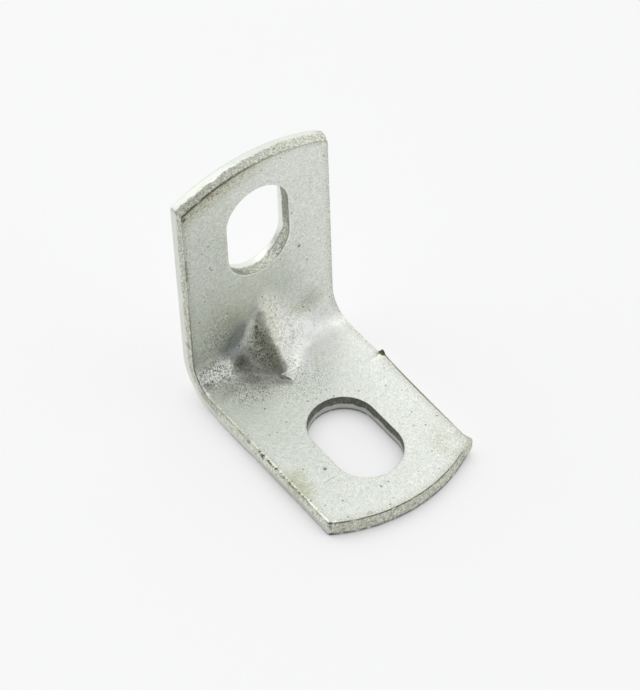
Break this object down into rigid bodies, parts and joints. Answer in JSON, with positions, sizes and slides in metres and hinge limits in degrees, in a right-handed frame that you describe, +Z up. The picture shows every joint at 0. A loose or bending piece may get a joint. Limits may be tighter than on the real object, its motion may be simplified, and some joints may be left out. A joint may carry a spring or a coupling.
{
  "type": "corner brace bracket",
  "caption": "Right-angle steel corner brace with a slotted hole in each leg, rounded leg tips and a gusset pressed across the inside of the fold.",
  "frame": {"origin": "centre of the base leg's slot, on the leg's underside", "axes": "+Z up the upright leg, -Y towards the tip of the base leg, X across the strip"},
  "size_m": [0.0166, 0.0253, 0.0263],
  "materials": {
    "zinc_plated_steel": "dull zinc plate with a fine grain"
  },
  "bodies": {
    "root": {"brace": "zinc_plated_steel"}
  },
  "joints": []
}
